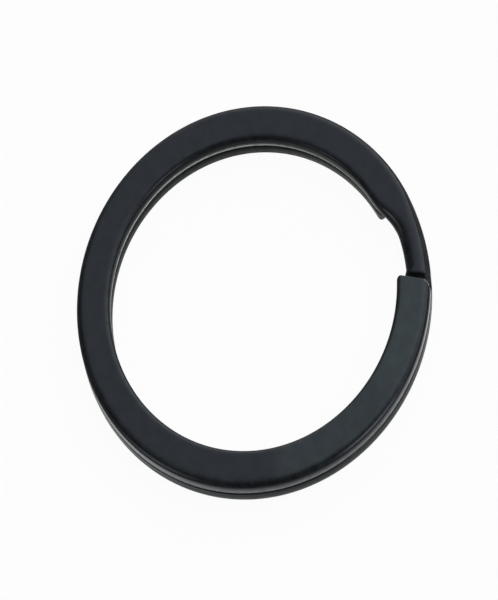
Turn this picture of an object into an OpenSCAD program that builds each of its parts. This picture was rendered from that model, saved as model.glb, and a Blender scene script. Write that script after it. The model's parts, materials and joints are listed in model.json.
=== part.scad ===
// Split key ring
// One length of spring-steel wire, pressed flat and wound twice round, lies as two flat turns, one on
// the other. Between the two free ends the wire is left as a narrow rounded bar, the crossover, which
// steps down from the top turn to the bottom turn. A key is slipped on by springing a free end away
// from the other turn: the half turn behind that end bends and twists as a leaf spring does.
//
// +Z is the ring's axis and +X runs through the middle of the crossover. The origin is the centre of
// the ring on the surface that it lies on. The turns and their free ends are the same when the ring is
// turned over about the crossover's own radius, so each bottom piece is its top piece turned over.

/* [Ring] */
// Outside diameter of both turns
outer_d = 32; // [20:0.5:45]
// Slit between the top turn and the bottom turn
slit = 0.04; // [0.02:0.01:0.2]

/* [Flattened strip] */
// Width of the strip, from the inside of the ring to the outside
strip_w = 3; // [2.4:0.1:4]
// Thickness of the strip, along the axis of the ring
strip_t = 1.38; // [1.1:0.02:2]
// Rounding of the outer edges that face away from the slit
edge_r = 0.65; // [0.2:0.05:0.8]
// Rounding of the inner edges that face away from the slit
inner_edge_r = 0.5; // [0.2:0.05:0.8]
// Rounding of the edges along the slit
slit_edge_r = 0.18; // [0.05:0.01:0.3]

/* [Crossover] */
// Width of the bar at its narrowest
bar_w = 2.15; // [1.6:0.05:2.4]
// How far the bar lies inside the top face and the bottom face of the ring
bar_inset = 0.3; // [0.1:0.05:0.4]
// Rounding of the bar's four edges
bar_r = 1; // [0.4:0.05:1]
// Length from the middle of the bar to where it starts to widen into the bottom turn
bar_l = 2.6; // [1:0.1:3]
// Length from the middle of the bar to where it starts to widen into the top turn
bar_top_l = 0.55; // [0:0.05:1.5]
// Length from the middle of the bar to where it is as wide as the top turn
top_taper_l = 4.85; // [3:0.05:5.5]
// Angle of the bar's upper outer edge, from its wall up, that is pressed to a flat flank
flank_a = 60; // [30:5:70]
// Length of the steep shoulder by which the bar drops in front of the top free end
top_shoulder_l = 0.4; // [0.3:0.05:1.5]
// Length of the long shoulder by which the bar rises in front of the bottom free end
bottom_shoulder_l = 3; // [0.5:0.1:3]
// How far the wire may go on widening behind each free end
taper_l = 1.3; // [0.5:0.1:3]

/* [Free ends] */
// Length of each free end that is cut to shape, along the middle of the strip
end_l = 5; // [3:0.5:8]
// Distance between the two free ends, along the middle of the strip
end_gap = 7.6; // [6.4:0.1:10]
// Room between each free end and the foot of the shoulder that it faces
end_room = 0.2; // [0.1:0.05:0.4]
// Slant of each cut end, with the corner inside the ring in front
end_slant = 13; // [0:1:15]
// Rounding of each end's corner on the inside of the ring
end_inner_r = 0.45; // [0.1:0.05:0.8]
// Rounding of each end's corner on the outside of the ring
end_outer_r = 0.6; // [0.1:0.05:1.2]

/* [Spring leaves] */
// Part of a turn behind each free end that springs open, in degrees
leaf_a = 180; // [120:10:240]

/* [Hidden] */
$fn = 96;
// Points on each rounded edge, and sections along each half of the crossover: bar, shoulder and taper
edge_steps = 9;
bar_steps = 14;
shoulder_steps = 8;
taper_steps = 8;
// Overlap of a cutting shape beyond what it cuts
spare = 1;
// How far the rounding of a cut end's corner runs out past the wall of the strip
corner_lap = 0.01;

outer_r = outer_d / 2;
bore_r = outer_r - strip_w;
mean_r = outer_r - strip_w / 2;
ring_h = 2 * strip_t + slit;
slit_top = strip_t + slit;

// Angle round the ring that a length along the middle of the strip covers
function ring_angle(length) = length / mean_r * 180 / PI;
end_a = ring_angle(end_gap / 2);
foot_a = ring_angle(end_gap / 2 - end_room);
top_brow_a = ring_angle(end_gap / 2 - end_room - top_shoulder_l);
bottom_brow_a = ring_angle(end_gap / 2 - end_room - bottom_shoulder_l);
bar_a = ring_angle(bar_l);
bar_top_a = ring_angle(bar_top_l);
crossover_a = ring_angle(end_gap / 2 + taper_l);
top_taper_a = min(crossover_a, ring_angle(top_taper_l));
// Angle behind a free end at which its turn runs into the crossover
turn_end_a = 360 - end_a - crossover_a;

coat = [0.2, 0.21, 0.23];

TURN_PIECES = ["turn", "leaf", "end"];
NODES = concat(
    ["crossover"],
    [for (side = ["top", "bottom"], piece = TURN_PIECES) str(side, "_", piece)]
);
node = "all";

function wanted(name) = node == "all" || node == name;

// Flattened strip

// Section of the top turn's strip: x is the radius, y is the height above the table
module strip_section() {
    low_y = slit_top + slit_edge_r;
    translate([bore_r + inner_edge_r, slit_top])
        square([strip_w - inner_edge_r - edge_r, strip_t]);
    translate([bore_r + slit_edge_r, slit_top])
        square([strip_w - 2 * slit_edge_r, slit_edge_r]);
    translate([bore_r, low_y])
        square([strip_w / 2, ring_h - inner_edge_r - low_y]);
    translate([mean_r, low_y])
        square([strip_w / 2, ring_h - edge_r - low_y]);
    translate([bore_r + inner_edge_r, ring_h - inner_edge_r])
        circle(inner_edge_r);
    translate([outer_r - edge_r, ring_h - edge_r])
        circle(edge_r);
    for (x = [bore_r + slit_edge_r, outer_r - slit_edge_r])
        translate([x, slit_top + slit_edge_r])
            circle(slit_edge_r);
}

// Stretch of the top turn between two angles, both measured back from its free end
module top_stretch(from, to) {
    rotate_extrude(angle = to - from, start = -end_a - to)
        strip_section();
}

// The ring turned over about the crossover's radius
module turned_over() {
    translate([0, 0, ring_h])
        rotate([180, 0, 0])
            children();
}

// Free ends

// Frame of the cut: x runs along the cut away from the ring's centre, y points out of the free end.
// It stands where the middle of the strip meets the cut, and turns by the slant against the radius.
cut_centre = [-mean_r * cos(end_slant), -mean_r * sin(end_slant)];
inner_corner_y = -end_inner_r;
outer_corner_y = -end_outer_r;
// How far behind the cut the outline of the free end reaches
end_back = -end_l - strip_w;
// Each corner's circle touches the cut and runs out at the inner or the outer wall of the strip
inner_corner = [cut_centre.x + leg(bore_r + end_inner_r - corner_lap, inner_corner_y), inner_corner_y];
outer_corner = [cut_centre.x + leg(outer_r - end_outer_r + corner_lap, outer_corner_y), outer_corner_y];

// Distance along x from the ring's centre to a point at radius r and height y in the cut's frame
function leg(r, y) = sqrt(r * r - (y - cut_centre.y) * (y - cut_centre.y));
// Point on the line where a corner's circle leaves the wall, at a distance from the corner's centre
function wall_point(corner, reach) =
    let (away = (corner - cut_centre) / norm(corner - cut_centre))
    corner + away * reach;

// Outline of the free end from above, in the frame of the cut
module end_block() {
    linear_extrude(ring_h + spare)
        polygon([
            [inner_corner.x, 0],
            [outer_corner.x, 0],
            outer_corner,
            wall_point(outer_corner, end_outer_r + spare),
            [outer_corner.x + strip_w, end_back],
            [inner_corner.x - strip_w, end_back],
            wall_point(inner_corner, -end_inner_r - spare),
            inner_corner
        ]);
    translate(inner_corner)
        cylinder(ring_h + spare, r = end_inner_r);
    translate(outer_corner)
        cylinder(ring_h + spare, r = end_outer_r);
}

// Crossover

function smooth(t) =
    let (u = max(0, min(1, t)))
    u * u * (3 - 2 * u);
function mix(a, b, share) = a + (b - a) * share;

// At a ring angle: 0 where the wire is full strip, 1 where it is the bar
function drawn_in(a) =
    1 - smooth(a > 0 ? (a - bar_top_a) / (top_taper_a - bar_top_a) : (-a - bar_a) / (crossover_a - bar_a));
// Rise of the wire's underside: it leaves the slit by the shoulder, crosses as the bar and runs out level
function rise(a, brow_a) =
    a > 0
        ? mix(bar_inset, slit_top, smooth((a - brow_a) / (foot_a - brow_a)))
        : mix(bar_inset, 0, smooth(-a / foot_a));
function underside(a) = rise(a, bottom_brow_a);
// The upper side follows the same rule turned over
function upper_side(a) = ring_h - rise(-a, top_brow_a);
// Share of the way up from the bottom turn to the top turn
function climb(a) = smooth((a / foot_a + 1) / 2);

// Share of the cut's slant that a section takes, so that each shoulder runs along the cut that it faces
function lean(a) = smooth(abs(a) / foot_a) - smooth((abs(a) - end_a) / (crossover_a - end_a));
// Angle by which the slant moves a point at radius r
function slant_at(r) = asin(mean_r * sin(end_slant) / r) - end_slant;

// Way from an edge's centre to its surface: round, but pressed towards a straight line over the flank
function edge_way(turn, share) =
    let (
        t = min(1, turn / flank_a),
        straight = mix([1, 0], [cos(flank_a), sin(flank_a)], t)
    )
    mix([cos(turn), sin(turn)], straight, share * (1 - t * t));

// Section of the wire at a ring angle, as points of radius and height, anticlockwise
function wire_section(a) =
    let (
        share = drawn_in(a),
        low = underside(a),
        high = upper_side(a),
        inside = outer_r - mix(strip_w, bar_w, share),
        limit = min(outer_r - inside, high - low) / 2,
        top_r = min(limit, mix(mix(slit_edge_r, edge_r, climb(a)), bar_r, share)),
        low_r = min(limit, mix(mix(edge_r, slit_edge_r, climb(a)), bar_r, share)),
        inner_top_r = min(limit, mix(mix(slit_edge_r, inner_edge_r, climb(a)), bar_r, share)),
        inner_low_r = min(limit, mix(mix(inner_edge_r, slit_edge_r, climb(a)), bar_r, share)),
        corners = [
            [outer_r - top_r, high - top_r, top_r, 0],
            [inside + inner_top_r, high - inner_top_r, inner_top_r, 90],
            [inside + inner_low_r, low + inner_low_r, inner_low_r, 180],
            [outer_r - low_r, low + low_r, low_r, 270]
        ]
    )
    [
        for (c = corners, i = [0 : edge_steps])
            let (
                turn = c[3] + 90 * i / edge_steps,
                way = edge_way(turn, share)
            )
            [c[0] + c[2] * way.x, c[1] + c[2] * way.y]
    ];

// Solid skin over rings of points, each ring joined to the next by triangles
module lofted(rings) {
    n = len(rings[0]);
    last = (len(rings) - 1) * n;
    points = [for (ring = rings) each ring];
    first_cap = [[for (i = [0 : n - 1]) i]];
    last_cap = [[for (i = [n - 1 : -1 : 0]) last + i]];
    sides = [
        for (k = [0 : len(rings) - 2], i = [0 : n - 1])
            let (
                a = k * n + i,
                b = k * n + (i + 1) % n
            )
            each [[a, a + n, b], [b, a + n, b + n]]
    ];
    polyhedron(points, concat(first_cap, sides, last_cap));
}

// Angles of the sections from the middle of the crossover to one of its ends
function spaced(from, to, steps) = [for (i = [1 : steps]) mix(from, to, i / steps)];
half_angles = concat(
    spaced(0, top_brow_a, bar_steps),
    spaced(top_brow_a, foot_a, shoulder_steps),
    spaced(foot_a, crossover_a, taper_steps)
);

module crossover() {
    last = len(half_angles) - 1;
    rings = [
        for (a = concat([for (i = [last : -1 : 0]) half_angles[i]], [0], -half_angles))
            [
                for (p = wire_section(a))
                    let (turn = a - sign(a) * lean(a) * slant_at(p.x))
                    [p.x * cos(turn), p.x * sin(turn), p.y]
            ]
    ];
    color(coat)
        lofted(rings);
}

// The two turns

// Part of a turn that runs on from the crossover and stays still
module top_turn() {
    color(coat)
        top_stretch(leaf_a, turn_end_a);
}

// Part of a turn behind its free end, which springs open
module top_leaf() {
    color(coat)
        top_stretch(ring_angle(end_l), leaf_a);
}

module top_end() {
    color(coat)
        intersection() {
            top_stretch(-ring_angle(spare), ring_angle(end_l));
            rotate(-end_a)
                translate([mean_r, 0])
                    rotate(-end_slant)
                        end_block();
        }
}

if (wanted("crossover")) crossover();
if (wanted("top_turn")) top_turn();
if (wanted("top_leaf")) top_leaf();
if (wanted("top_end")) top_end();
if (wanted("bottom_turn")) turned_over() top_turn();
if (wanted("bottom_leaf")) turned_over() top_leaf();
if (wanted("bottom_end")) turned_over() top_end();
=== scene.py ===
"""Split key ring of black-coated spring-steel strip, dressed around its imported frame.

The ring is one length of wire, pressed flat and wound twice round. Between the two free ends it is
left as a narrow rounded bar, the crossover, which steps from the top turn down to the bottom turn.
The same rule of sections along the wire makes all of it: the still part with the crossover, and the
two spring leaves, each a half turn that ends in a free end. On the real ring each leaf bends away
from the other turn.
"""
import json
import math

import bpy
from mathutils import Matrix, Vector


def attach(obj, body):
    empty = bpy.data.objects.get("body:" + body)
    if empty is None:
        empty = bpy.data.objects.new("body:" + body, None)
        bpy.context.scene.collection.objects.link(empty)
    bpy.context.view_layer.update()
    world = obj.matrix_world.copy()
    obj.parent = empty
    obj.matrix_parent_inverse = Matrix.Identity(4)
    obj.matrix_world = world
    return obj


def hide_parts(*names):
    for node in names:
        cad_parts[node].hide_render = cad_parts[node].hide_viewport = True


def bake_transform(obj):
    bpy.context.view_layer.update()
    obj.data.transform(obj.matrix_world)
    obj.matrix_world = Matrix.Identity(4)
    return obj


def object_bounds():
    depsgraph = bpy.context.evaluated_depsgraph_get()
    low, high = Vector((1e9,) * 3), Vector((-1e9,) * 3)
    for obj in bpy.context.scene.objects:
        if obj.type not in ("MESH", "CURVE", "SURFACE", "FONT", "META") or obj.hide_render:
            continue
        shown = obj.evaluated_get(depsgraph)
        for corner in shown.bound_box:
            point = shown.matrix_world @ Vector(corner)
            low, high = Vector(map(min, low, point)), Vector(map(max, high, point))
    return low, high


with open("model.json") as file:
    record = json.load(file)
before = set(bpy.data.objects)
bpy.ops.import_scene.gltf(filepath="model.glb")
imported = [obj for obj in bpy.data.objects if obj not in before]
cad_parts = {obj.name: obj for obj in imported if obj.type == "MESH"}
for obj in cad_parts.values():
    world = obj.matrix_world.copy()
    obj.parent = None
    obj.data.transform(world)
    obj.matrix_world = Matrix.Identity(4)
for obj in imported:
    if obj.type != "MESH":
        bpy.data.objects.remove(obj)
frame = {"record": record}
CAD_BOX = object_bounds()

bl_info = {
    "name": "Split key ring",
    "version": (1, 0, 0),
    "blender": (4, 5, 0),
    "location": "3D View > Sidebar > Key Ring",
    "description": "Builds a flat split key ring with a crossover and two free ends that spring open",
    "category": "Object",
}

MM = 0.001
QUARTER_TURN = math.pi / 2
MOUNTS = {mount["name"]: mount for mount in frame["record"]["mounts"]}
RING_HEIGHT = CAD_BOX[1].z
BORE_RADIUS = MOUNTS["ring_opening"]["dims"]["r_mm"] * MM


# What a user would change


def length(name, description, default, least=0.0):
    """A size, given in millimetres and kept in metres."""
    return bpy.props.FloatProperty(name=name, description=description, default=default * MM,
                                   min=least * MM, unit="LENGTH", precision=5)


def angle(name, description, degrees):
    """An angle, given in degrees and kept in radians."""
    return bpy.props.FloatProperty(name=name, description=description,
                                   default=math.radians(degrees), subtype="ANGLE")


def share(name, description, default, most=1.0):
    """A strength, or a part of a whole."""
    return bpy.props.FloatProperty(name=name, description=description, default=default,
                                   min=0, max=most, subtype="FACTOR")


def colour(name, description, default):
    """A colour, as linear red, green and blue."""
    return bpy.props.FloatVectorProperty(name=name, description=description, default=default,
                                         size=3, min=0, max=1, subtype="COLOR")


class RingSizes(bpy.types.PropertyGroup):
    """Sizes of the flattened wire, the same as in the part's solids."""
    strip_width: length(
        "Strip Width", "Width of the strip, from the inside of the ring to the outside", 3)
    slit: length("Slit", "Slit between the top turn and the bottom turn", 0.04)
    edge_round: length(
        "Edge Rounding", "Rounding of the outer edges that face away from the slit", 0.65)
    inner_edge_round: length(
        "Inner Edge Rounding", "Rounding of the inner edges that face away from the slit", 0.5)
    slit_edge_round: length("Slit Edge Rounding", "Rounding of the edges along the slit", 0.18)
    bar_width: length("Bar Width", "Width of the crossover's bar at its narrowest", 2.15)
    bar_inset: length(
        "Bar Inset", "How far the bar lies inside the top face and the bottom face", 0.3)
    bar_round: length("Bar Rounding", "Rounding of the bar's four edges", 1)
    bar_length: length(
        "Bar Length", "Length from the bar's middle to where it widens into the bottom turn", 2.6)
    bar_top_length: length(
        "Bar Top Length", "Length from the bar's middle to where it widens into the top turn", 0.55)
    top_taper: length(
        "Top Taper", "Length from the bar's middle to where it is as wide as the top turn", 4.85)
    flank: angle("Flank", "Part of the bar's upper outer edge that is pressed to a flat flank", 60)
    top_shoulder: length(
        "Top Shoulder", "Length of the steep shoulder beside the top free end", 0.4)
    bottom_shoulder: length(
        "Bottom Shoulder", "Length of the long shoulder beside the bottom free end", 3)
    taper_length: length(
        "Taper Length", "How far the wire may go on widening behind each free end", 1.3)
    end_gap: length(
        "End Gap", "Distance between the two free ends, along the middle of the strip", 7.6)
    end_room: length("End Room", "Room between each free end and the shoulder that it faces", 0.2)
    end_inner_round: length(
        "End Inner Rounding", "Rounding of each end's corner inside the ring", 0.45)
    end_outer_round: length(
        "End Outer Rounding", "Rounding of each end's corner outside the ring", 0.6)
    end_rim: length("End Rim", "Rounding left by tumbling along each cut end", 0.08)
    end_slant: angle("End Slant", "Slant of each cut end, with the inner corner in front", 13)
    leaf_turn: angle("Leaf Turn", "Part of a turn behind each free end that springs open", 180)
    step: angle("Step", "Angle between two sections along the wire", 0.5)


class CoatFinish(bpy.types.PropertyGroup):
    """The satin black coat on the steel."""
    colour: colour("Coat", "Colour of the coat", (0.004, 0.0052, 0.0058))
    # Paler colour of the coat's flat faces towards a free end
    paler_near_end: colour(
        "Handled Coat", "Colour of the coat towards a free end, where fingers lift it",
        (0.0285, 0.0415, 0.0393))
    # Pale colour of the lines on the walls, which are partly wear and partly painted highlight and
    # reflection of the floor
    rubbed_and_highlight: colour(
        "Rubbed Coat", "Colour of the coat where keys and the other turn have rubbed it",
        (0.64, 0.685, 0.63))
    steel: colour("Steel", "Colour of the steel where the coat is off", (0.62, 0.62, 0.63))
    roughness: share("Roughness", "Roughness of the coat on the flat faces", 0.3)
    gloss: share("Gloss", "Specular level of the coat", 0.395)
    sheen: colour(
        "Sheen", "Tint of what the coat reflects, seen straight on", (0.747, 0.826, 1.0))
    grain: length("Grain", "Size of the coat's fine grain", 0.12)


class StageLook(bpy.types.PropertyGroup):
    """Floor, light and camera."""
    floor: colour("Floor", "Colour of the floor", (0.85, 0.85, 0.85))
    floor_size: length("Floor Size", "Width of the floor", 1200)
    floor_white: share("Floor White", "Part of the floor that shows as plain white", 0.95)
    floor_outside: share(
        "Floor Outside", "Brightness in reflections of the floor close outside the ring", 0.7)
    floor_inside: share(
        "Floor Inside", "Brightness in reflections of the floor close inside the ring", 0.23)
    floor_shade: share(
        "Floor Shade", "Part of that brightness that is left in the ring's own shade", 0.55)
    floor_sides: share(
        "Floor Sides", "How much brighter the floor out of that shade is at the ring's sides", 1.35,
        most=4)
    sides_turn: angle("Sides Turn", "Direction from the ring's middle to the brighter sides", 8)
    floor_away: share(
        "Floor Away", "Brightness in reflections of the floor away from the ring", 0.18)
    overhead: share("Overhead Light", "Brightness of the soft light overhead", 0.904, most=4)
    low_light: share(
        "Low Light", "Brightness of the room low down, away from the bright side", 0.136, most=4)
    bright_side: share("Bright Side", "Brightness of the bright side of the room", 1.72, most=4)
    bright_turn: angle("Bright Turn", "Direction of the bright side", 35)
    bright_rise: angle("Bright Rise", "Height of the bright side above the floor", 10)
    strip_light: share(
        "Strip Lights", "Brightness of the two small lights at the level of the floor", 4, most=9)
    strip_pool: share(
        "Strip Pools", "Brightness in reflections of the floor in front of each small light", 3.1,
        most=9)
    azimuth: angle("Azimuth", "Direction that the camera stands in", -1.44)
    elevation: angle("Elevation", "Height of the camera above the floor", 61.94415)
    roll: angle("Roll", "Turn of the picture about the line of sight", -16.22289)
    lean: angle(
        "Picture Lean", "Lean of the picture plane, which stretches the picture upwards", 33.82367)
    distance: length("Distance", "Distance from the camera to the ring", 858.594)
    aim_right: length("Aim Right", "Shift of the aim to the right", -0.488, least=-50)
    aim_up: length("Aim Up", "Shift of the aim upwards", -0.057, least=-50)
    lens: bpy.props.FloatProperty(name="Lens", description="Focal length in millimetres",
                                  default=573.39, min=1, unit="CAMERA")


# Node trees


class Field:
    """A value in a node tree, with arithmetic that lays down the nodes for it."""

    def __init__(self, tree, socket):
        self.tree = tree
        self.socket = socket

    def node(self, kind, values, **settings):
        """A new node with these settings and inputs, each a field or a plain value."""
        made = self.tree.nodes.new(kind)
        for name, value in settings.items():
            setattr(made, name, value)
        for key, value in values.items():
            if isinstance(value, Field):
                self.tree.links.new(value.socket, made.inputs[key])
            else:
                made.inputs[key].default_value = value
        return made

    def out(self, kind, values, key=0, **settings):
        """One output of such a node."""
        return Field(self.tree, self.node(kind, values, **settings).outputs[key])

    def math(self, operation, *values):
        return self.out("ShaderNodeMath", dict(enumerate(values)), operation=operation)

    def __add__(self, other):
        return self.math("ADD", self, other)

    def __radd__(self, other):
        return self.math("ADD", other, self)

    def __sub__(self, other):
        return self.math("SUBTRACT", self, other)

    def __rsub__(self, other):
        return self.math("SUBTRACT", other, self)

    def __mul__(self, other):
        return self.math("MULTIPLY", self, other)

    def __truediv__(self, other):
        return self.math("DIVIDE", self, other)

    def __neg__(self):
        return self.math("MULTIPLY", self, -1.0)

    def sin(self):
        return self.math("SINE", self)

    def cos(self):
        return self.math("COSINE", self)

    def asin(self):
        return self.math("ARCSINE", self)

    def sqrt(self):
        return self.math("SQRT", self)

    def power(self, other):
        return self.math("POWER", self, other)

    def size(self):
        return self.math("ABSOLUTE", self)

    def sign(self):
        return self.math("SIGN", self)

    def below(self, other):
        return self.math("LESS_THAN", self, other)

    def above(self, other):
        return self.math("GREATER_THAN", self, other)

    def at_least(self, other):
        return self.math("MAXIMUM", self, other)

    def at_most(self, other):
        return self.math("MINIMUM", self, other)

    def clamp(self):
        return self.out("ShaderNodeClamp", {0: self})

    def toward(self, other, part):
        """The value that lies this part of the way to the other one."""
        return self + (other - self) * part

    def ramp(self, low, high, first, last):
        """First below low, last above high, and a smooth change between them."""
        return self.out("ShaderNodeMapRange", {0: self, 1: low, 2: high, 3: first, 4: last},
                        interpolation_type="SMOOTHSTEP")


def lay_out(tree, column=190, row=150):
    """Puts every node of a tree in a column to the right of the nodes that it reads."""
    depth = {}

    def place(node):
        if node not in depth:
            depth[node] = 0
            read = [link.from_node for socket in node.inputs for link in socket.links]
            depth[node] = 1 + max(map(place, read), default=-1)
        return depth[node]

    rows = {}
    for node in tree.nodes:
        here = place(node)
        rows[here] = rows.get(here, 0) + 1
        node.location = (here * column, -rows[here] * row)


# The flattened wire

# Inputs of the wire's tree: plain numbers, apart from those of another kind
WIRE_INPUTS = (
    "Outer Radius", "Ring Height", "Slit Top", "Strip Width", "Edge Rounding",
    "Inner Edge Rounding", "Slit Edge Rounding", "Bar Width", "Bar Inset", "Bar Rounding",
    "Bar Angle", "Bar Top Angle", "Top Taper Angle", "Flank", "Top Brow Angle",
    "Bottom Brow Angle", "Foot Angle", "Free End Angle", "Crossover Angle", "Start Angle",
    "End Angle", "Steps", "Free End", "End Slant", "End Inner Rounding", "End Outer Rounding",
    "End Rim", "Turned Over", "Material",
)
OTHER_KINDS = {"Steps": "NodeSocketInt", "Material": "NodeSocketMaterial"}
# Steps across the wire: on each rounded edge, on each flat face and on each wall
EDGE_STEPS, FACE_STEPS, WALL_STEPS = 10, 8, 3
# Largest rounding as a share of the wire's width or height, which leaves a sliver of wall
MOST_ROUND = 0.495
# Sections on the rounding of a cut end
RIM_STEPS = 6
# A part, or times MM a length, that counts as nothing
TRACE = 1e-4

# Parts of the wire's width between which the marks of the outer side give way to the inner side's
SIDE_CHANGE = (0.4, 0.6)
# Lines on the walls: the height at which each starts to fade, the height at which it is gone, and its
# strength. The first two run above the slit and are partly wear and partly painted highlight and
# reflection of the floor, measured from the slit. The other two are painted highlight on the bottom
# turn's walls, brighter towards the underside, measured from the underside.
OUTER_SLIT_RUB_AND_HIGHLIGHT = (0.247 * MM, 0.7505 * MM, 0.33)
INNER_SLIT_RUB_AND_HIGHLIGHT = (0.1425 * MM, 0.5225 * MM, 1.35)
OUTER_LOW_HIGHLIGHT = (0.57 * MM, 0.9975 * MM, 0.16)
INNER_LOW_HIGHLIGHT = (0.475 * MM, 1.235 * MM, 0.13)
# More painted highlight on the walls near a free end: the distances from the end between which it
# changes, and what it changes from and to. The first is a share of the outer line at the slit, the
# second adds to the low line.
OUTER_END_HIGHLIGHT = (8.36 * MM, 13.64 * MM, 0.3, 0.0)
INNER_END_HIGHLIGHT = (3.3 * MM, 16.5 * MM, 0.38, 0.05)
# The painted highlight line on the bar's inner edge: its middle and half its width as turns of that
# rounded edge, the angles round the ring between which it comes and goes, and its strength
BAR_LINE, BAR_LINE_HALF = QUARTER_TURN / 2, QUARTER_TURN / EDGE_STEPS
BAR_LINE_COMES, BAR_LINE_GOES = (-0.04, 0.14), (0.16, 0.24)
BAR_LINE_HIGHLIGHT = 0.14
# The bare line on a cut end: turns of its rounding between which it comes and goes, and the
# distances from the outer wall at which it starts and is full
BARE_COMES, BARE_GOES = (0.1, 0.4), (0.9, 1.4)
BARE_REACH, BARE_FULL = 0.6 * MM, 0.3 * MM
# The coat's flat faces behind a free end are paler in two steps: the distances from the end between
# which each fades, and its part. Then the flatness of a face between which the paler grey comes in.
PALER_NEAR_END_STEPS = ((19.8 * MM, 22 * MM, 0.55), (7.26 * MM, 11.44 * MM, 0.45))
PALER_NEAR_END_FLATNESS = (0.8, 0.99)


def wire_tree():
    """A box of points is bent round the ring: its length runs along the wire, its width from the
    outer wall to the inner wall and its height from the underside to the upper side."""
    tree = bpy.data.node_groups.new("Flattened wire", "GeometryNodeTree")
    tree.is_modifier = True
    for name in WIRE_INPUTS:
        tree.interface.new_socket(name, in_out="INPUT",
                                  socket_type=OTHER_KINDS.get(name, "NodeSocketFloat"))
    tree.interface.new_socket("Geometry", in_out="OUTPUT", socket_type="NodeSocketGeometry")
    entry = tree.nodes.new("NodeGroupInput")
    given = {name: Field(tree, entry.outputs[name]) for name in WIRE_INPUTS}
    outer, width_full, height = given["Outer Radius"], given["Strip Width"], given["Ring Height"]
    free, rim, slant = given["Free End"], given["End Rim"], given["End Slant"]
    foot, bar_inset, flank = given["Foot Angle"], given["Bar Inset"], given["Flank"]

    # Place in the box: along the wire, from the outer wall to the inner one, and from low to high
    across_steps = 2 * EDGE_STEPS + FACE_STEPS
    box = outer.out("GeometryNodeMeshCube", {
        "Size": (1, 1, 1), "Vertices X": given["Steps"] + 1.0, "Vertices Y": across_steps + 1,
        "Vertices Z": WALL_STEPS + 1})
    position = outer.out("GeometryNodeInputPosition", {})
    corner = outer.node("ShaderNodeSeparateXYZ", {0: position})
    along, across, up = (Field(tree, corner.outputs[i]) + 0.5 for i in range(3))

    # Along the wire: the plain length, then the rounding of a free end
    rim_start = 1.0 - free * RIM_STEPS / given["Steps"]
    reach = (along / rim_start).clamp()
    rim_turn = ((along - rim_start) / (1.0 - rim_start)).clamp() * QUARTER_TURN
    inset = rim * (1.0 - rim_turn.cos())
    short_of_end = rim * (1.0 - rim_turn.sin())
    turn = given["Start Angle"].toward(given["End Angle"], reach)

    # The crossover's rule, at this angle round the ring
    drawn_in = (turn.ramp(given["Bar Top Angle"], given["Top Taper Angle"], 1.0, 0.0)
                * (-turn).ramp(given["Bar Angle"], given["Crossover Angle"], 1.0, 0.0))

    def underside(at, brow):
        """Height of the wire's underside, with the shoulder from the brow to the foot."""
        shoulder = at.ramp(brow, foot, bar_inset, given["Slit Top"])
        run_out = (-at).ramp(0.0, foot, bar_inset, 0.0)
        return shoulder + run_out - bar_inset

    low = underside(turn, given["Bottom Brow Angle"])
    high = height - underside(-turn, given["Top Brow Angle"])
    width = width_full.toward(given["Bar Width"], drawn_in)
    most = width.at_most(high - low) * MOST_ROUND

    def roundings(edge):
        """Rounding of the upper and the lower edge on one side, from the rounding on the turns."""
        slit_edge = given["Slit Edge Rounding"]
        pair = turn.ramp(-foot, foot, slit_edge, edge), turn.ramp(-foot, foot, edge, slit_edge)
        return [r.toward(given["Bar Rounding"], drawn_in).at_most(most) for r in pair]

    outer_rounds = roundings(given["Edge Rounding"])
    inner_rounds = roundings(given["Inner Edge Rounding"])

    # Across the wire: a rounded edge, the flat face and the other rounded edge
    edge_part = EDGE_STEPS / across_steps
    outer_turn = (across / edge_part).clamp() * QUARTER_TURN
    inner_turn = ((1.0 - across) / edge_part).clamp() * QUARTER_TURN
    flat = ((across - edge_part) / (1 - 2 * edge_part)).clamp()
    on_flank = (outer_turn / flank).at_most(1.0)
    flank_press = drawn_in * (1.0 - on_flank * on_flank)

    def side(outer_round, inner_round, pressed):
        """Radius and drop from the face, for a side with these roundings of its two edges."""
        outer_round, inner_round = outer_round - inset, inner_round - inset
        outer_cos = outer_turn.cos().toward(1.0 - (1.0 - flank.cos()) * on_flank, pressed)
        outer_sin = outer_turn.sin().toward(flank.sin() * on_flank, pressed)
        flat_width = width - inset * 2.0 - outer_round - inner_round
        inward = (outer_round * (1.0 - outer_cos) + flat * flat_width
                  + inner_round * inner_turn.cos())
        drop = outer_round * (1.0 - outer_sin) + inner_round * (1.0 - inner_turn.sin()) + inset
        return outer - inset - inward, drop

    top_radius, top_drop = side(outer_rounds[0], inner_rounds[0], flank_press)
    low_radius, low_drop = side(outer_rounds[1], inner_rounds[1], 0.0)
    radius = low_radius.toward(top_radius, up)
    z = (low + low_drop).toward(high - top_drop, up)

    # A free end: slanted cut and rounded corners. Each shoulder runs along the cut that it faces.
    middle = outer - width_full * 0.5
    cut = (middle * slant.sin() / radius).asin() - slant
    lean = (turn.size().ramp(0.0, foot, 0.0, 1.0)
            - turn.size().ramp(given["Free End Angle"], given["Crossover Angle"], 0.0, 1.0))

    def corner_drop(rounding, from_wall):
        """How far a rounded corner lies behind the cut, at this distance from the wall."""
        rest = (rounding - from_wall).at_least(0.0)
        return rounding - (rounding * rounding - rest * rest).at_least(0.0).sqrt()

    back = (short_of_end + corner_drop(given["End Outer Rounding"], outer - radius)
            + corner_drop(given["End Inner Rounding"], radius - (outer - width_full)))
    bent = (turn + free * reach * (cut - back / radius)
            - (1.0 - free) * turn.sign() * lean * cut)
    over = given["Turned Over"]
    level = z.toward(height - z, over)
    point = outer.out("ShaderNodeCombineXYZ", {
        0: radius * bent.cos(), 1: radius * bent.sin() * (1.0 - over * 2.0), 2: level})

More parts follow.
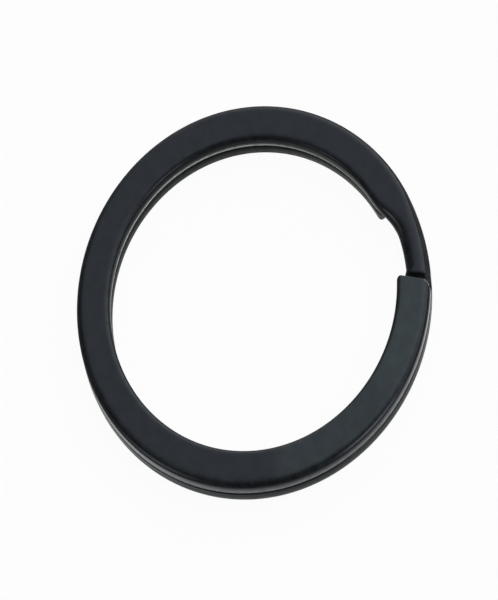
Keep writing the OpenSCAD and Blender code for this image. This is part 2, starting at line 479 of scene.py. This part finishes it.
    # Marks for the finish: the rounded edges, the bare corner of a cut end, the paler faces behind a
    # free end, and the lines on the walls, partly wear and partly painted highlight and reflection
    rounded = (outer_turn * 2.0).sin() + (inner_turn * 2.0).sin()
    from_end = (given["End Angle"] - bent) * middle
    on_rim = rim_turn.ramp(*BARE_COMES, 0.0, 1.0) * rim_turn.ramp(*BARE_GOES, 1.0, 0.0)
    end_corner = on_rim * radius.ramp(outer - BARE_REACH, outer - BARE_FULL, 0.0, 1.0)
    flatness = outer_turn.sin() * inner_turn.sin()
    far_step, near_step = (from_end.ramp(*step, 0.0) for step in PALER_NEAR_END_STEPS)
    paler_near_end = free * flatness.ramp(*PALER_NEAR_END_FLATNESS, 0.0, 1.0) * (far_step + near_step)

    # The lines on the walls: above the slit, partly wear and partly painted highlight and reflection
    # of the floor, stronger near a free end; on the bottom turn, painted highlight brighter towards
    # the underside; and a painted highlight line along the bar's inner edge
    over_slit = level - height * 0.5
    in_bore = across.ramp(*SIDE_CHANGE, 0.0, 1.0)
    more_at_end = 1.0 + free * from_end.ramp(*OUTER_END_HIGHLIGHT)
    outer_rub_and_highlight = over_slit.ramp(*OUTER_SLIT_RUB_AND_HIGHLIGHT, 0.0) * more_at_end
    inner_rub_and_highlight = over_slit.ramp(*INNER_SLIT_RUB_AND_HIGHLIGHT, 0.0)
    slit_rub_and_highlight = over_slit.ramp(0.0, TRACE * MM, 0.0, 1.0) * outer_rub_and_highlight.toward(inner_rub_and_highlight, in_bore)
    outer_low_highlight = level.ramp(*OUTER_LOW_HIGHLIGHT, 0.0)
    fades, gone, strength = INNER_LOW_HIGHLIGHT
    inner_low_highlight = level.ramp(fades, gone, strength + free * from_end.ramp(*INNER_END_HIGHLIGHT), 0.0)
    low_highlight = outer_low_highlight.toward(inner_low_highlight, in_bore)
    bar_line = (inner_turn.ramp(BAR_LINE - BAR_LINE_HALF, BAR_LINE, 0.0, 1.0)
                * inner_turn.ramp(BAR_LINE, BAR_LINE + BAR_LINE_HALF, 1.0, 0.0))
    bar_highlight = (up * bar_line * turn.ramp(*BAR_LINE_COMES, 0.0, BAR_LINE_HIGHLIGHT)
               * turn.ramp(*BAR_LINE_GOES, 1.0, 0.0))
    wall_rub_and_highlight = (slit_rub_and_highlight + low_highlight) * (1.0 - drawn_in) + bar_highlight

    # The mesh, with a sharp border round each cut that isn't rounded
    from_cap = ((along - 0.5).size() - 0.5).size()
    flat_cap = from_cap.below(TRACE) * (1.0 - free * along.above(0.5))
    shape = outer.out("GeometryNodeSetShadeSmooth", {"Geometry": box, "Shade Smooth": True})
    shape = outer.out("GeometryNodeSetShadeSmooth", {
        "Geometry": shape, "Shade Smooth": flat_cap.below(0.5)}, domain="EDGE")
    marks = {"edge": rounded, "wall_rub_and_highlight": wall_rub_and_highlight, "end_corner": end_corner, "paler_near_end": paler_near_end}
    for name, value in marks.items():
        shape = outer.out("GeometryNodeStoreNamedAttribute", {
            "Geometry": shape, "Name": name, "Value": value}, data_type="FLOAT", domain="POINT")
    shape = outer.out("GeometryNodeSetPosition", {"Geometry": shape, "Position": point})
    shape = outer.out("GeometryNodeRealizeInstances", {"Geometry": shape})
    shape = outer.out("GeometryNodeSetMaterial", {
        "Geometry": shape, "Material": given["Material"]})
    leave = tree.nodes.new("NodeGroupOutput")
    tree.links.new(shape.socket, leave.inputs["Geometry"])
    lay_out(tree)
    return tree


def bent_wire(name, start, end, free=0.0, turned_over=0.0):
    """A stretch of the wire between two angles round the ring, as a plain mesh at its place."""
    sizes = bpy.context.scene.ring_sizes
    outer = BORE_RADIUS + sizes.strip_width
    middle = outer - sizes.strip_width / 2
    half_gap = sizes.end_gap / 2
    foot = half_gap - sizes.end_room
    values = {
        "Outer Radius": outer,
        "Ring Height": RING_HEIGHT,
        "Slit Top": (RING_HEIGHT + sizes.slit) / 2,
        "Strip Width": sizes.strip_width,
        "Edge Rounding": sizes.edge_round,
        "Inner Edge Rounding": sizes.inner_edge_round,
        "Slit Edge Rounding": sizes.slit_edge_round,
        "Bar Width": sizes.bar_width,
        "Bar Inset": sizes.bar_inset,
        "Bar Rounding": sizes.bar_round,
        "Bar Angle": sizes.bar_length / middle,
        "Bar Top Angle": sizes.bar_top_length / middle,
        "Top Taper Angle": sizes.top_taper / middle,
        "Flank": sizes.flank,
        "Top Brow Angle": (foot - sizes.top_shoulder) / middle,
        "Bottom Brow Angle": (foot - sizes.bottom_shoulder) / middle,
        "Foot Angle": foot / middle,
        "Free End Angle": half_gap / middle,
        "Crossover Angle": (half_gap + sizes.taper_length) / middle,
        "Start Angle": start,
        "End Angle": end,
        "Steps": round((end - start) / sizes.step),
        "Free End": free,
        "End Slant": sizes.end_slant,
        "End Inner Rounding": sizes.end_inner_round,
        "End Outer Rounding": sizes.end_outer_round,
        "End Rim": sizes.end_rim,
        "Turned Over": turned_over,
        "Material": black_coat(),
    }
    tree = bpy.data.node_groups.get("Flattened wire") or wire_tree()
    wire = bpy.data.objects.new(name, bpy.data.meshes.new(name))
    bpy.context.scene.collection.objects.link(wire)
    modifier = wire.modifiers.new("Flattened wire", "NODES")
    modifier.node_group = tree
    for item in tree.interface.items_tree:
        if item.in_out == "INPUT":
            modifier[item.identifier] = values[item.name]
    evaluated = wire.evaluated_get(bpy.context.evaluated_depsgraph_get())
    made = bpy.data.meshes.new_from_object(evaluated)
    wire.modifiers.clear()
    wire.data = made
    made.name = name
    return wire


def free_end_angle():
    """Angle round the ring from the middle of the crossover to a free end."""
    sizes = bpy.context.scene.ring_sizes
    return sizes.end_gap / 2 / (BORE_RADIUS + sizes.strip_width / 2)


# Finish

# Detail and roughness of the grain, and size, detail and roughness of the larger noises in the coat
GRAIN = (3.0, 0.5)
BLOTCH = (3.5 * MM, 3.0, 0.5)
PATCH = (1.0 * MM, 4.0, 0.6)
SCUFF = (0.5 * MM, 4.0, 0.65)
# Values that a noise mostly lies between
NOISE_SPAN = (0.35, 0.65)
# Colour of the coat in its darkest and palest patches, as parts of its own colour, and how far those
# patches go to the paler colour near a free end
COAT_PATCH = (0.55, 1.45)
PALER_NEAR_END_PATCH = (0.7, 0.9)
# Values of the scuff noise between which an edge is scuffed, and how much that rubs and polishes it
SCUFFED = (0.4, 0.62)
EDGE_RUB, EDGE_POLISH = 0.008, 0.02
# How scuffs break up the lines on the walls (wear and painted highlight) and the bare corners: two
# values of the noise and the part of the mark that is left at each
RUB_BREAKS = (0.3, 0.55, 0.55, 1.0)
BARE_BREAKS = (0.3, 0.45, 0.6, 1.0)
# Strengths of the corner's mark between which the coat is off, and how metallic the steel there is
BARE_EDGE = (0.2, 0.7)
BARE_METALLIC = 0.4
# Change of the roughness over the blotches, and strength and depth of the grain's relief
ROUGHNESS_CHANGE = 0.025
RELIEF_STRENGTH, RELIEF_DEPTH = 0.12, 0.02 * MM


def black_coat():
    """Satin black coat with a fine grain, worn along the edges and chipped at the free ends. Its pale
    lines along the walls are partly wear and partly painted highlight and reflection.
    """
    material = bpy.data.materials.get("Satin black coat")
    if material:
        return material
    finish = bpy.context.scene.coat_finish
    material = bpy.data.materials.new("Satin black coat")
    material.use_nodes = True
    tree = material.node_tree
    tree.nodes.clear()
    place = Field(tree, tree.nodes.new("ShaderNodeTexCoord").outputs["Object"])
    edge, wall_rub_and_highlight, end_corner, paler_near_end = (
        place.out("ShaderNodeAttribute", {}, "Fac", attribute_name=mark)
        for mark in ("edge", "wall_rub_and_highlight", "end_corner", "paler_near_end"))

    def noise(size, detail, roughness):
        return place.out("ShaderNodeTexNoise", {
            "Vector": place, "Scale": 1 / size, "Detail": detail, "Roughness": roughness})

    def mixed(part, one, other):
        return place.out("ShaderNodeMix", {0: part, 6: one, 7: other}, 2, data_type="RGBA")

    grain = noise(finish.grain, *GRAIN)
    blotch, patch, scuff = (noise(*spread) for spread in (BLOTCH, PATCH, SCUFF))
    scuffed = edge * scuff.ramp(*SCUFFED, 0.0, 1.0)
    # Pale lines on the walls, partly wear and partly painted highlight and reflection, with wear
    # along the edges
    rub = (wall_rub_and_highlight * scuff.ramp(*RUB_BREAKS) + scuffed * EDGE_RUB).clamp()
    bare = end_corner.ramp(*BARE_EDGE, 0.0, 1.0) * scuff.ramp(*BARE_BREAKS)

    dark, pale = ((*(c * part for c in finish.colour), 1) for part in COAT_PATCH)
    coat = mixed(patch.ramp(*NOISE_SPAN, 0.0, 1.0), dark, pale)
    coat = mixed(paler_near_end * patch.ramp(*NOISE_SPAN, *PALER_NEAR_END_PATCH), coat, (*finish.paler_near_end, 1))
    coat = mixed(rub, coat, (*finish.rubbed_and_highlight, 1))
    base = mixed(bare, coat, (*finish.steel, 1))
    roughness = blotch.ramp(*NOISE_SPAN, finish.roughness - ROUGHNESS_CHANGE,
                            finish.roughness + ROUGHNESS_CHANGE) - scuffed * EDGE_POLISH
    relief = place.out("ShaderNodeBump", {
        "Strength": RELIEF_STRENGTH, "Distance": RELIEF_DEPTH, "Height": grain})
    shader = place.out("ShaderNodeBsdfPrincipled", {
        "Base Color": base, "Roughness": roughness, "Metallic": bare * BARE_METALLIC,
        "Normal": relief, "Specular IOR Level": finish.gloss, "Specular Tint": (*finish.sheen, 1)})
    leave = tree.nodes.new("ShaderNodeOutputMaterial")
    tree.links.new(shader.socket, leave.inputs["Surface"])
    lay_out(tree)
    return material


# Pieces


class KEYRING_OT_still_wire(bpy.types.Operator):
    """Makes the still part of the wire: the crossover and the turns that run on from it"""
    bl_idname = "keyring.still_wire"
    bl_label = "Still Wire"

    def execute(self, context):
        hinge = context.scene.ring_sizes.leaf_turn - free_end_angle()
        wire = bent_wire("still_wire", -hinge, hinge)
        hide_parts("crossover", "top_turn", "bottom_turn")
        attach(wire, "ring")
        return {"FINISHED"}


class KEYRING_OT_spring_leaves(bpy.types.Operator):
    """Makes the two half turns of the wire, each with its free end"""
    bl_idname = "keyring.spring_leaves"
    bl_label = "Spring Leaves"

    def execute(self, context):
        end = free_end_angle()
        hinge = context.scene.ring_sizes.leaf_turn - end
        for side, turned_over in (("top", 0.0), ("bottom", 1.0)):
            leaf = bent_wire(f"{side}_spring_leaf", hinge, math.tau - end, free=1.0,
                             turned_over=turned_over)
            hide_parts(f"{side}_leaf", f"{side}_end")
            flip = -1 if turned_over else 1
            tip = Vector((math.cos(end), -math.sin(end) * flip, 0)) * BORE_RADIUS
            -tip
            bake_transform(leaf)
        return {"FINISHED"}


class KEYRING_OT_stage(bpy.types.Operator):
    """Makes the floor, the light and the camera"""
    bl_idname = "keyring.stage"
    bl_label = "Stage"

    def execute(self, context):
        look = context.scene.stage_look
        make_floor(look)
        make_light(look)
        make_camera(look)
        context.scene.view_settings.view_transform = "Standard"
        return {"FINISHED"}


# Stage

# Direction and share of the strength of each small light at the level of the floor
STRIP_LIGHTS = ((math.radians(-55), 1.0), (math.radians(205), 0.5))
# Cosines of the angles from its middle at which a small light is out, and full
STRIP_SPREAD = (math.cos(math.radians(20)), math.cos(math.radians(4)))
# Cosines at which the bright side is out, and full, and how closely the overhead light is gathered
BRIGHT_SPREAD = (0.0, 1.05)
OVERHEAD_POWER = 4.0
# Distances from the ring, measured along y, between which the floor in reflections comes out of the
# ring's shade, and between which it fades away
CONTACT_SHADE = (0.65 * MM, 0.9 * MM)
FLOOR_FADE = (1.2 * MM, 4.8 * MM)
# Distances from the ring between which the floor comes up again in front of the small lights
POOL_RISE = (6 * MM, 16 * MM)
# How far the floor lies under the ring, so that no two faces share a plane
FLOOR_DROP = 0.01 * MM
# The camera's sensor in millimetres, and the nearest and furthest that it sees in metres
SENSOR_WIDTH = 36
CLIP = (0.01, 10)


def make_floor(look):
    """The camera looks through the floor to the white room, so an end that opens downwards stays
    in view. Reflections see a floor that is darker near the ring and away from it."""
    half = look.floor_size / 2
    mesh = bpy.data.meshes.new("floor")
    corners = ((-1, -1), (1, -1), (1, 1), (-1, 1))
    mesh.from_pydata([(x * half, y * half, -FLOOR_DROP) for x, y in corners], [], [(0, 1, 2, 3)])
    floor = bpy.data.objects.new("floor", mesh)
    bpy.context.scene.collection.objects.link(floor)
    material = bpy.data.materials.new("Floor")
    material.use_nodes = True
    tree = material.node_tree
    tree.nodes.clear()
    rays = tree.nodes.new("ShaderNodeLightPath")
    camera, glossy, passing = (Field(tree, rays.outputs[n]) for n in
                               ("Is Camera Ray", "Is Glossy Ray", "Is Transmission Ray"))
    seen = (camera + glossy + passing).clamp() * look.floor_white

    # Brightness in reflections
    place = Field(tree, tree.nodes.new("ShaderNodeTexCoord").outputs["Object"])
    point = place.node("ShaderNodeSeparateXYZ", {0: place})
    x, y = (Field(tree, point.outputs[i]) for i in range(2))
    radius = (x * x + y * y).sqrt()

    def facing(turn):
        """How squarely a place on the floor lies in this direction from the ring's middle."""
        return (x * math.cos(turn) + y * math.sin(turn)) / radius

    width = bpy.context.scene.ring_sizes.strip_width
    beside = radius.ramp(BORE_RADIUS, BORE_RADIUS + width, look.floor_inside, look.floor_outside)
    gap = (radius - (BORE_RADIUS + width / 2)).size() - width / 2
    gap_along_y = gap * radius / y.size().at_least(TRACE * MM)
    sideways = facing(look.sides_turn)
    lit_side = 1.0 + sideways * sideways * look.floor_sides
    shaded = gap_along_y.ramp(*CONTACT_SHADE, 1.0, 0.0)
    beside = beside * lit_side.toward(look.floor_shade, shaded)
    mirrored = beside.toward(look.floor_away, gap_along_y.ramp(*FLOOR_FADE, 0.0, 1.0))
    for turn, part in STRIP_LIGHTS:
        pool = facing(turn).ramp(*STRIP_SPREAD, 0.0, part * look.strip_pool)
        mirrored = mirrored + pool * gap.ramp(*POOL_RISE, 0.0, 1.0)
    strength = (1.0 - glossy) + glossy * mirrored

    lit = place.out("ShaderNodeBsdfDiffuse", {"Color": (*look.floor, 1)})
    white = place.out("ShaderNodeEmission", {"Strength": strength})
    clear = place.out("ShaderNodeBsdfTransparent", {})
    shown = place.out("ShaderNodeMixShader", {0: camera, 1: white, 2: clear})
    both = place.out("ShaderNodeMixShader", {0: seen, 1: lit, 2: shown})
    leave = tree.nodes.new("ShaderNodeOutputMaterial")
    tree.links.new(both.socket, leave.inputs["Surface"])
    lay_out(tree)
    mesh.materials.append(material)


def make_light(look):
    """A soft light overhead, a bright side of the room and two small lights near the floor. The
    camera sees plain white."""
    world = bpy.data.worlds.new("Studio")
    bpy.context.scene.world = world
    world.use_nodes = True
    tree = world.node_tree
    tree.nodes.clear()
    direction = Field(tree, tree.nodes.new("ShaderNodeTexCoord").outputs["Generated"])
    axes = direction.node("ShaderNodeSeparateXYZ", {0: direction})
    x, y, rise = (Field(tree, axes.outputs[i]) for i in range(3))

    def facing(turn, elevation=0.0):
        """How squarely a direction faces this one."""
        level = math.cos(elevation)
        return (x * (math.cos(turn) * level) + y * (math.sin(turn) * level)
                + rise * math.sin(elevation))

    from_above = rise.at_least(0.0).power(OVERHEAD_POWER)
    room = look.low_light + from_above * (look.overhead - look.low_light)
    side = facing(look.bright_turn, look.bright_rise)
    room = room.toward(look.bright_side, side.ramp(*BRIGHT_SPREAD, 0.0, 1.0))
    for turn, part in STRIP_LIGHTS:
        room = room + facing(turn).ramp(*STRIP_SPREAD, 0.0, part * look.strip_light)
    camera = Field(tree, tree.nodes.new("ShaderNodeLightPath").outputs["Is Camera Ray"])
    background = direction.out("ShaderNodeBackground", {
        "Color": (1, 1, 1, 1), "Strength": room.toward(1.0, camera)})
    leave = tree.nodes.new("ShaderNodeOutputWorld")
    tree.links.new(background.socket, leave.inputs["Surface"])
    lay_out(tree)


def make_camera(look):
    """The picture was made taller than it was taken. A picture plane that leans back does the
    same."""
    data = bpy.data.cameras.new("camera")
    data.lens = look.lens
    data.sensor_width = SENSOR_WIDTH
    data.clip_start, data.clip_end = CLIP
    camera = bpy.data.objects.new("camera", data)
    bpy.context.scene.collection.objects.link(camera)
    holder = bpy.data.objects.new("camera_holder", None)
    bpy.context.scene.collection.objects.link(holder)
    back = Vector((math.sin(look.azimuth) * math.cos(look.elevation),
                   -math.cos(look.azimuth) * math.cos(look.elevation), math.sin(look.elevation)))
    level = Vector((math.cos(look.azimuth), math.sin(look.azimuth), 0))
    right = level * math.cos(look.roll) + back.cross(level) * math.sin(look.roll)
    up = back.cross(right)
    aim = Vector((0, 0, RING_HEIGHT / 2)) + right * look.aim_right + up * look.aim_up
    place = Matrix.Translation(aim + back * look.distance)
    leaned = up * math.cos(look.lean) + back * math.sin(look.lean)
    camera.parent = holder
    camera.matrix_parent_inverse = place @ Matrix((right, leaned, back)).transposed().to_4x4()
    bpy.context.scene.camera = camera


class KEYRING_PT_panel(bpy.types.Panel):
    """Sizes, finish and stage of the ring"""
    bl_idname = "KEYRING_PT_panel"
    bl_label = "Split Key Ring"
    bl_space_type = "VIEW_3D"
    bl_region_type = "UI"
    bl_category = "Key Ring"

    def draw(self, context):
        for operator in OPERATORS:
            self.layout.operator(operator.bl_idname)
        for group, cls in SETTINGS.items():
            box = self.layout.box()
            for name in cls.__annotations__:
                box.prop(getattr(context.scene, group), name)


OPERATORS = (KEYRING_OT_still_wire, KEYRING_OT_spring_leaves, KEYRING_OT_stage)
SETTINGS = {"ring_sizes": RingSizes, "coat_finish": CoatFinish, "stage_look": StageLook}
CLASSES = (*SETTINGS.values(), *OPERATORS, KEYRING_PT_panel)


def register():
    for cls in CLASSES:
        bpy.utils.register_class(cls)
    for name, cls in SETTINGS.items():
        setattr(bpy.types.Scene, name, bpy.props.PointerProperty(type=cls))


def unregister():
    for name in SETTINGS:
        delattr(bpy.types.Scene, name)
    for cls in reversed(CLASSES):
        bpy.utils.unregister_class(cls)


def main():
    register()
    bpy.ops.keyring.still_wire()
    bpy.ops.keyring.spring_leaves()
    bpy.ops.keyring.stage()


if __name__ == "__main__":
    main()
